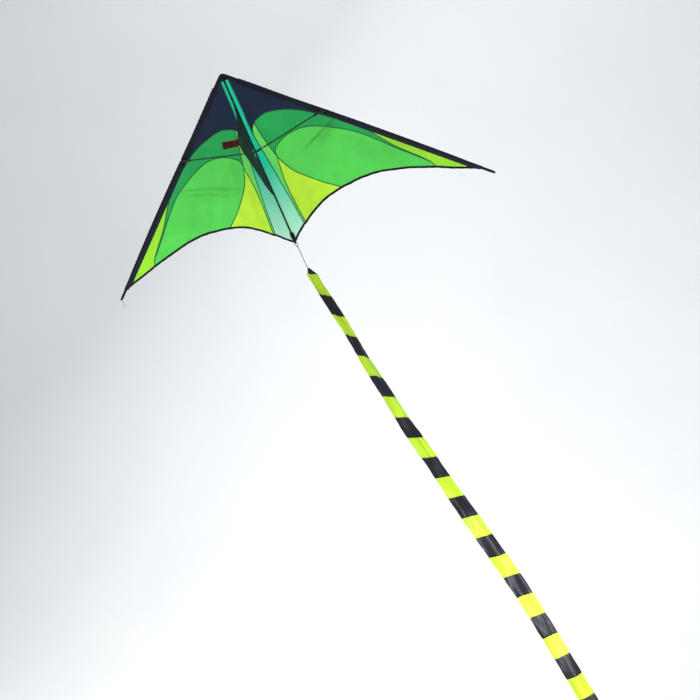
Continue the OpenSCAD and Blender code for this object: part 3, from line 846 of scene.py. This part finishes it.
arc = [
    np.array([0, 17]) + 16 * np.array([math.cos(math.radians(a)), math.sin(math.radians(a))])
    for a in range(-90, -44, 9)
]
half = np.vstack(
    [
        np.array(arc) * MM, hem_edge(0.066, -0.0040)[None], hem_edge(0.0684, -0.001)[None],
        hem_edge(0.0680, 0.0100)[None], hem_edge(0.040, 0.0092)[None], [[0.0166, 0.0292], [0.0150, 0.0284]]
    ]
)


def nose_half(x, y):
    ridge = np.exp(-((x / 0.0042) ** 2)) * np.clip((y - 0.003) / 0.006, 0, 1)
    edge = np.exp(-(((np.abs(x) * LE_PLAN[1] - y * LE_PLAN[0]) / 0.005) ** 2)) * np.clip((y - 0.004) / 0.01, 0, 1)
    return 0.0013 + 0.0034 * ridge + 0.0016 * edge


q = evenly(np.vstack([[[0.006, 0.0262], [0.0165, 0.0266]], hem_edge(0.0640, 0.0078)[None]]), 0.002)
for side, hand in ((1, "right"), (-1, "left")):
    outline = np.vstack([half, [[0, 0.0284]]])[::side] * [side, 1]
    patch = slab(f"{hand}_nose_patch_cloth", outline, middle_skin, nose_half, TAPE, 0.0025)
    fold_with(patch, side, "nose_patch")
    at, n = skin(*q.T, 1)
    lines = [(at * [side, 1, 1], n * [side, 1, 1], 0.0015)]
    fold_with(stitches(f"{hand}_nose_thread", lines, THREAD_BLACK, pitch=0.0034, long=0.0024), side)

half = np.array(
    [[0, 660], [5, 661], [7.5, 666], [8.2, 674], [7.6, 682], [5.6, 690], [4.9, 702], [3.8, 704.5], [0, 705]]
) * MM
outline = np.vstack([half, (half * [-1, 1])[::-1][1:-1]])


def pocket_half(x, y):
    ridge = np.exp(-((x / 0.0046) ** 2)) * np.clip((0.7055 - y) / 0.004, 0.3, 1)
    return 0.0014 + 0.0036 * ridge


pocket = slab("tail_pocket_cloth", outline, middle_skin, pocket_half, TAPE, 0.0025)
dress(pocket, "airframe", "tail_pocket")
a = np.linspace(-np.pi / 2, np.pi / 2, 13)
bend = np.stack([0 * a, 0.708 + 0.0021 * np.cos(a), 0.0021 * np.sin(a)], -1)
tab = np.vstack([[[0, 0.698, -0.0021]], [[0, 0.703, -0.0021]], bend, [[0, 0.703, 0.0021]], [[0, 0.698, 0.0021]]])
out = np.vstack(
    [[[0, 0, -1]], [[0, 0, -1]], np.stack([0 * a, np.cos(a), np.sin(a)], -1), [[0, 0, 1]], [[0, 0, 1]]]
)
dress(sweep("tail_tab", tab, out, flat_section(0.0030, 0.0030, 0.0011), TAPE), "airframe")

# ---- the keel and its webbing loop
TOW = np.array([TOW_Y, KEEL_DEPTH - 0.0025])
ROOT = 0.0042


def keel_line(shares, x0, x1):
    s = np.array(shares)
    return spline(np.stack([x0 + (x1 - x0) * s[:, 0], ROOT + (TOW[1] - ROOT) * s[:, 1]], -1), 8)


front_edge = keel_line(
    [[0, 0], [0.14, 0.05], [0.42, 0.17], [0.61, 0.35], [0.74, 0.55], [0.88, 0.8], [1, 1]], 0.105, TOW[0] - 0.003
)
back_edge = keel_line(
    [[0, 1], [0.13, 0.94], [0.32, 0.8], [0.52, 0.62], [0.71, 0.41], [0.88, 0.19], [1, 0]], TOW[0] + 0.003, 0.5
)
root = 0.0034
slot = np.array([[0.328, root], [0.328, 0.030], [0.324, 0.034], [0.294, 0.034], [0.290, 0.030], [0.290, root]])
outline = np.vstack([[[0.106, root]], front_edge[1:], back_edge[:-1], [[0.4995, root]], slot])


def keel_skin(u, v):
    """The keel's cloth, with tension lines that fan out from the tow point."""
    du, dv = u - TOW[0], TOW[1] - v
    fan = np.arctan2(du, np.maximum(dv, 1e-4))
    dist = np.hypot(du, dv)
    x = 0.0010 * np.sin(fan * 17 + 0.6) * np.clip(dist / 0.05, 0, 1) * np.clip((v - 0.004) / 0.03, 0, 1)
    x += 0.0022 * np.sin(u * 21 + 1) * np.clip(v / 0.1, 0, 1) * np.clip(dist / 0.08, 0, 1)
    return np.stack([x, u, -v], -1), np.repeat([[1.0, 0, 0]], np.size(u), 0)


p, faces = fill(outline, 0.006)
at, _ = keel_skin(*p.T)
declare(dress(mesh("keel_cloth", at, faces, SHADE_DARKENED_TEAL, p), "keel", "keel_panel"))
thread = []
for end, line in (("front", front_edge), ("back", back_edge)):
    q = evenly(line, 0.004)
    at, n = keel_skin(*q.T)
    tape = sweep(f"keel_binding_{end}", at, n, flat_section(0.0005, 0.0058, 0.0019), TAPE)
    dress(tape, "keel", "keel_binding")
    inward = unit(np.cross(n, tangents(at)))
    thread.append((at + inward * 0.0040, n, 0.0010))
q = evenly(slot, 0.003)
at, n = keel_skin(*q.T)
dress(sweep("keel_slot_hem", at, n, flat_section(0.0016, 0.0016, 0.0011), SHADE_DARKENED_TEAL), "keel")
dress(stitches("keel_thread", thread, THREAD_BLACK), "keel")
patch_line = np.array([[-5, 40], [10, 44], [36, 38], [30, 24], [12, 12], [2, 6], [-2, 14]]) * MM
patch_line = np.stack([TOW_Y + patch_line[:, 0], KEEL_DEPTH - patch_line[:, 1]], -1)
patch = slab("keel_corner_cloth", patch_line, keel_skin, 0.0013, TAPE, 0.003)
dress(patch, "keel", "keel_corner_patch")
ring = np.vstack([patch_line, patch_line[:1]])
centre = patch_line.mean(0)
q = evenly(centre + (ring - centre) * 0.86, 0.002)
at, n = keel_skin(*q.T)
thread = stitches("keel_corner_thread", [(at, n, 0.0014)], THREAD_RED, pitch=0.0034, long=0.0024)
dress(thread, "keel")

FLOP, LOOP_LEAN = math.radians(72), math.radians(14)
OUT = np.array(
    [-math.sin(FLOP) * math.cos(LOOP_LEAN), -math.sin(LOOP_LEAN), -math.cos(FLOP) * math.cos(LOOP_LEAN)]
)
WIDE = np.array(
    [-math.sin(FLOP) * math.sin(LOOP_LEAN), math.cos(LOOP_LEAN), -math.cos(FLOP) * math.sin(LOOP_LEAN)]
)
FLAT = np.cross(OUT, WIDE)
TOW_POINT = np.array([0, TOW_Y, -KEEL_DEPTH])


def strap(u, v, w=0.0):
    """A point of the webbing: u out from the keel, v through its thickness, w across it. It sags a little."""
    u, v, w = np.broadcast_arrays(np.asarray(u, float), v, w)
    sag = 0.0016 * np.sin(np.clip(u / 0.052, 0, 1) * np.pi)
    return TOW_POINT + u[..., None] * OUT + (v + sag)[..., None] * FLAT + w[..., None] * WIDE


EYE_OUT, EYE_R = 0.052, 0.0048
a = np.linspace(math.pi / 2 + 0.42, -math.pi / 2 - 0.42, 28)
eye = np.stack([EYE_OUT + EYE_R * np.cos(a), EYE_R * np.sin(a)], -1)
neck = [[-0.0012, 0.0009], [0.004, 0.0010], [0.014, 0.0009], [0.026, 0.0009], [0.036, 0.0010], [0.042, 0.0016]]
path = np.vstack([spline(neck, 4)[:-1], eye, (spline(neck, 4)[:-1] * [1, -1])[::-1]])
away = np.stack([np.gradient(path[:, 1]), -np.gradient(path[:, 0])], -1)
at = strap(path[:, 0], path[:, 1])
normal = -(away[:, :1] * OUT + away[:, 1:] * FLAT)
loop = sweep("tow_loop_webbing", at, normal, flat_section(0.0125, 0.0125, 0.0014), WEBBING)
dress(loop, "tow_loop", "tow_loop")


def strap_seam(a, b, height):
    """A row of stitches through the webbing, from a to b along and across it."""
    q = evenly(np.array([a, b]), 0.002)
    return strap(q[:, 0], 0, q[:, 1]), np.repeat([FLAT], len(q), 0), height


box = np.array([[5, -10], [22, -10], [22, 10], [5, 10], [5, -10], [22, 10], [22, -10], [5, 10]]) * MM
lines = [strap_seam(a, b, 0.0017) for a, b in zip(box[:-1], box[1:])]
lines.append(strap_seam([0.0395, -0.0112], [0.0395, 0.0112], 0.0021))
lines += [strap_seam([0.003, edge], [0.038, edge], 0.0017) for edge in (-0.0106, 0.0106)]
dress(stitches("tow_loop_thread", lines, THREAD_RED, pitch=0.0028, long=0.0021), "tow_loop")


# ---- the link cord
def down(sway):
    a = math.radians(sway)
    return np.array([math.sin(a), 0, -math.cos(a)])


EYELET = row([0, 0.708, 0])
KNOT = EYELET + 0.014 * down(8)
LINK_LEN, CORD_R = 0.107, 0.0013
LINK_END = EYELET + LINK_LEN * down(8)


def rope(name, points, radius, body, node=None, sides=10, twist=380.0):
    """A laid cord of two strands: a round section with two shallow grooves that turn along it."""
    p = evenly(spline(points, 10), radius * 0.7)
    n = unit(np.cross(tangents(p), [0.1, 1.0, 0.2]))
    u = circle(sides)
    groove = radius * (0.90 + 0.10 * np.abs(np.cos(u - twist * run_of(p)[:, None])))
    rows = np.stack([groove * np.cos(u), groove * np.sin(u)], -1)
    return dress(sweep(name, p, n, rows, CORD, in_row=True), body, node), p


strand = [
    KNOT, KNOT + 0.022 * down(10) + [0.0004, 0.0006, 0], KNOT + 0.048 * down(8) + [-0.0006, 0.0012, 0],
    KNOT + 0.072 * down(7) + [0.0003, 0.0005, 0], LINK_END - 0.0004 * down(8)
]
cord, cord_path = rope("tail_link_cord_strand", strand, CORD_R, "tail_link", "tail_link_cord")
turn = np.linspace(0, 2 * np.pi, 46)
knot_shape = np.stack(
    [np.sin(turn) + 2 * np.sin(2 * turn), np.cos(turn) - 2 * np.cos(2 * turn), -1.6 * np.sin(3 * turn)], -1
) * 0.0007
knot, _ = rope("tail_link_knot_strand", KNOT + knot_shape[:, [0, 2, 1]], CORD_R, "tail_link", "tail_link_knot")
loop_line = [KNOT, KNOT + [0.0022, 0, 0.003], EYELET + [0.0062, 0, -0.0040], EYELET + [0.0052, 0, -0.0006], EYELET + [0, 0, 0.0002], EYELET + [-0.0052, 0, -0.0006],
             EYELET + [-0.0062, 0, -0.0040], KNOT + [-0.0022, 0, 0.003], KNOT]
link_loop, _ = rope("tail_link_loop_strand", loop_line, 0.0011, "tail_link")

# loose tie at the left tip
tie_from = LE * (LE_LEN + 0.0008) * np.array([-1, 1, 1])
tie = [
    row(tie_from + d)
    for d in np.array(
        [
            [0, 0, 0], [0.001, 0.007, -0.001], [0.004, 0.014, -0.003], [0.004, 0.021, -0.005],
            [0.002, 0.030, -0.007]
        ]
    )
]
TIE_R = 0.0006
tie_cord, tie_path = rope("left_tip_tie_strand", tie, TIE_R, "left_wing_edge", "left_tip_tie", 8, 600.0)

# ---- the tail
HEADER, SECTION, GAP, STRIPES = 0.031, 0.744, 0.003, 24
MIDDLE_TOP = LINK_END + (HEADER + SECTION + GAP) * down(14)
LOWER_TOP = MIDDLE_TOP + (SECTION + GAP) * down(17)
TAIL_END = LOWER_TOP + SECTION * down(13)
corners = np.array([LINK_END, MIDDLE_TOP, LOWER_TOP, TAIL_END])
corner_run = run_of(corners)
TOTAL = corner_run[-1]


def tail_axis(s):
    """The tail's middle line: the frame's three straight sections with eased corners."""
    s = np.asarray(s, float)
    spread = np.linspace(-0.13, 0.13, 27)
    room = np.minimum(np.minimum(s, TOTAL - s), 0.13)[:, None] / 0.13
    t = s[:, None] + spread * room
    return np.stack([np.interp(t, corner_run, corners[:, k]).mean(1) for k in range(3)], -1)


YAW = np.array([-56, -54, -46, -14, -18, -46.0])
SLANT = np.tan(np.radians([37, 36, 26, 18, 9, 5]))


def tail_ring(s, around):
    """One ring of the flattened fabric tube. It twists slowly, curls, and puckers a little at each seam."""
    share = (s - HEADER) / (TOTAL - HEADER)
    stripe = (share * STRIPES) % 1.0
    near_seam = np.exp(-((np.minimum(stripe, 1 - stripe) / 0.07) ** 2))
    yaw = np.radians(np.interp(share * 5, np.arange(6), YAW) + 5 * np.sin(share * 17))
    gathered = np.interp(share, [0, 0.08, 0.2, 0.34, 1], [0.64, 0.72, 0.84, 0.97, 1])
    half_w = gathered * (0.0335 - 0.0009 * near_seam + 0.0006 * np.sin(s * 61))
    puff = 0.0032 + 0.0016 * np.sin(s * 23 + 1) + 0.0012 * np.sin(s * 57) - 0.0008 * near_seam
    puff += 0.003 * np.clip(1 - (s - HEADER) / 0.08, 0, 1)
    c, q = np.cos(around), np.sin(around)
    wide = half_w * np.sign(c) * np.abs(c) ** 0.8
    lens = puff * np.sign(q) * (1 - np.abs(c) ** 3) * (np.abs(q) > 1e-9)
    curl = 0.0042 * np.sin(2.2 * wide / half_w + s * 9.0) + 0.0022 * np.sin(4.1 * wide / half_w - s * 21.0 + 1)
    ripple = 0.0007 * near_seam * np.sin(wide * 900 + 3 * s) + 0.0005 * np.sin(wide * 380 + s * 140)
    ridge = np.exp(-(((wide / half_w - 0.25 - 0.35 * np.sin(s * 5.3)) / 0.10) ** 2))
    valley = np.exp(-(((wide / half_w + 0.35 - 0.3 * np.sin(s * 7.1 + 1)) / 0.12) ** 2))
    fold = 0.0030 * ridge * np.clip(np.sin(s * 11 + 2), 0, 1)
    fold -= 0.0030 * valley * np.clip(np.sin(s * 8 + 0.5), 0, 1)
    return wide, lens + curl + ripple + fold, yaw


Y_AXIS = np.array([0, 1.0, 0])  # the axis of the tail's bends


def tail_points(s, around):
    """The tail's rings: each one turned by its yaw and slanted along the tube."""
    at = tail_axis(s)
    t = tangents(at)
    x_axis = unit(np.cross(Y_AXIS, t))
    rings = []
    for k, value in enumerate(s):
        wide, thick, yaw = tail_ring(value, around)
        w = x_axis[k] * math.cos(yaw) + Y_AXIS * math.sin(yaw)
        h = np.cross(t[k], w)
        slant = np.interp((value - HEADER) / (TOTAL - HEADER) * 5, np.arange(6), SLANT)
        rings.append(at[k] + np.outer(wide, w) + np.outer(thick, h) - np.outer(wide * slant, t[k]))
    return np.array(rings)


AROUND = circle(48)
STEP = (TOTAL - HEADER) / STRIPES
ZONES = [  # label, first and last stripe, and the bodies that a zone lies between
    ("upper", 0, 4, ("tail_upper",)),
    ("upper_bend", 4, 12, ("tail_upper", "tail_middle")),
    ("lower_bend", 12, 20, ("tail_middle", "tail_lower")),
    ("lower", 20, 24, ("tail_lower",)),
]
RINGS = 10  # along each stripe
all_rings = tail_points(np.linspace(HEADER, TOTAL, STRIPES * RINGS + 1), AROUND)
middle_ring = all_rings[STRIPES * RINGS // 2]
arc_run = np.linalg.norm(np.roll(middle_ring, -1, 0) - middle_ring, axis=1).cumsum()


def tail_ride(piece, bodies):
    if len(bodies) == 1:
        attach(piece, bodies[0])
    else:
        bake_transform(piece)


for label, first, last, bodies in ZONES:
    for colour, odd, material in (("lime", 0, TAIL_LIME), ("black", 1, TAIL_BLACK)):
        verts, faces, uv = [], [], []
        stripes = range(first + odd, last, 2)
        for stripe in stripes:
            faces += tube_faces(RINGS + 1, len(AROUND), len(verts))
            for i in range(RINGS + 1):
                verts += list(all_rings[stripe * RINGS + i])
                uv += [(stripe * STEP + i * STEP / RINGS, across) for across in arc_run]
        piece = dress(mesh(f"tail_{label}_{colour}", verts, faces, material, uv, in_row=True))
        tail_ride(piece, bodies)
        for body in bodies:
            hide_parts(f"{body}_{colour}")
    # seam thread round the tube at each stripe's end
    lines = []
    for stripe in range(first + 1, last + 1):
        ring_points = all_rings[stripe * RINGS]
        ring_points = np.vstack([ring_points, ring_points[:1]])
        middle = ring_points.mean(0)
        end = HEADER + STEP * stripe
        t = unit(tail_axis([end + 0.001]) - tail_axis([end - 0.001]))[0]
        n = unit(np.cross(tangents(ring_points), t))
        if np.mean(np.sum(n * (ring_points - middle), 1)) < 0:
            n = -n
        lines.append((ring_points + n * 0.0001, n, 0.00018))
        lines.append((ring_points + n * 0.0001 - t * 0.0035, n, 0.00018))
    thread = dress(stitches(f"tail_{label}_thread", lines, THREAD_BLACK, pitch=0.0044, in_row=True))
    tail_ride(thread, bodies)

# gathered header: pleats that run down from the cord's binding into the tube
s = np.linspace(0.0006, HEADER, 18)
around = circle(72)
end_wide, end_thick, yaw = tail_ring(HEADER, around)
t = unit(tail_axis([0.03]) - tail_axis([0.01]))[0]
w = unit(np.cross(Y_AXIS, t)) * math.cos(yaw) + Y_AXIS * math.sin(yaw)
h = np.cross(t, w)
verts, uv = [], []
for value in s:
    k = value / HEADER
    grow = k**1.25
    pleat = 1 + 0.16 * math.sin(math.pi * min(k * 1.1, 1)) * np.cos(13 * around) * (1 - 0.7 * k)
    pleat = pleat + 0.05 * (1 - k) * np.cos(7 * around + 2)
    a = (0.0040 * np.cos(around) * (1 - grow) + end_wide * grow) * pleat
    opened = end_thick * (0.4 + 0.6 * k) + 0.004 * np.sin(around) * (1 - k)
    b = (0.0040 * np.sin(around) * (1 - grow) + opened * grow) * pleat
    verts += list(LINK_END + t * value + np.outer(a, w) + np.outer(b, h) - np.outer(a * SLANT[0] * k * k, t))
    uv += [(value, 0.14 * u / (2 * np.pi)) for u in around]
k = len(around)
faces = tube_faces(len(s), k) + [list(range(k))[::-1]]
header = mesh("tail_header_cloth", verts, faces, TAIL_BLACK, uv, in_row=True)
dress(header, "tail_upper", "tail_header")
wraps = []
for turn in np.linspace(0, 10 * np.pi, 160):
    z = 0.0022 + 0.0044 * turn / (10 * np.pi)
    wraps.append(LINK_END + t * z + 0.0046 * (math.cos(turn) * w + math.sin(turn) * h))
rope("tail_header_whipping", wraps, 0.00045, "tail_upper", None, 8, 600.0)

# ---- floor and backdrop in one sweep
FLOOR_Z, BACK_Y, SWEEP_R = -2.95, 3.6, 3.4
curve = [
    (BACK_Y + SWEEP_R * math.sin(a), FLOOR_Z + SWEEP_R * (1 - math.cos(a)))
    for a in np.linspace(0.05, math.pi / 2, 24)
]
profile = [(-9, FLOOR_Z), (BACK_Y, FLOOR_Z), *curve, (BACK_Y + SWEEP_R, 9.0)]
verts = [(x, y, z) for x in (-14, 14) for y, z in profile]
count = len(profile)
floor_graph = Graph("pale_floor")
grain = floor_graph.noise(floor_graph.add("ShaderNodeTexCoord").outputs["Object"], 1.4, 3.0)
paint = floor_graph.mix((0.80, 0.82, 0.84, 1), (0.86, 0.87, 0.88, 1), grain)
floor_graph.surface(floor_graph.add("ShaderNodeBsdfPrincipled", {"Base Color": paint, "Roughness": 0.9}))
floor = mesh(
    "floor", verts, [[k, k + 1, count + k + 1, count + k] for k in range(count - 1)], floor_graph.material,
    in_row=True
)
